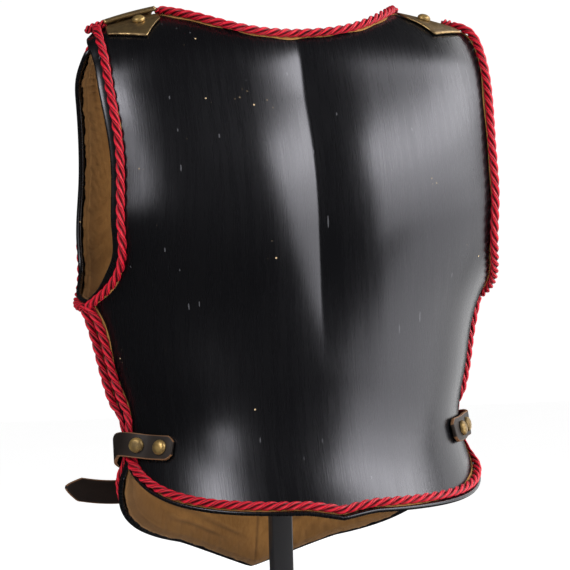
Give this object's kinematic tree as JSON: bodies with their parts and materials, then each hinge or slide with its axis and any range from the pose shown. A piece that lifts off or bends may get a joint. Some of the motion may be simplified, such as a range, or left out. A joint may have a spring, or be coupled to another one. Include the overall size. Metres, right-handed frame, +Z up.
{
  "type": "cuirass on a stand",
  "caption": "Black cuirass, back plate and breast plate with linen lining, corded edges, brass shoulder straps and a buckled waist belt, held up on a plain steel stand.",
  "frame": {"origin": "centre of the stand foot's underside, on the floor", "axes": "+Z up, +X to the wearer's right, +Y out of the breast plate"},
  "size_m": [0.3541, 0.28, 0.6112],
  "materials": {
    "lacquer": "black lacquer over sheet steel, satin gloss with fine upright brushing and small chips",
    "linen": "tan linen, matt, slightly puckered",
    "cord": "crimson twisted silk cord, soft sheen",
    "brass": "aged brass, dull with brighter rubbed spots",
    "leather": "dark brown smooth leather with lighter tan edges",
    "steel": "dark satin paint on steel"
  },
  "bodies": {
    "root": {"back_plate": "lacquer", "breast_plate": "lacquer", "back_lining": "linen", "breast_lining": "linen", "back_neck_cord": "cord", "back_edge_cord": "cord", "breast_neck_cord": "cord", "breast_edge_cord": "cord", "left_shoulder_plate": "brass", "left_shoulder_strap": "brass", "left_shoulder_hinge": "brass", "left_shoulder_back_stud": "brass", "left_shoulder_front_stud": "brass", "right_shoulder_plate": "brass", "right_shoulder_strap": "brass", "right_shoulder_hinge": "brass", "right_shoulder_back_stud": "brass", "right_shoulder_front_stud": "brass", "buckle": "brass", "left_rivet_inner": "brass", "left_rivet_outer": "brass", "right_rivet_inner": "brass", "right_rivet_outer": "brass", "belt_left_strap": "leather", "belt_right_strap": "leather", "stand_foot": "steel", "stand_post": "steel", "stand_yoke": "steel"}
  },
  "joints": []
}
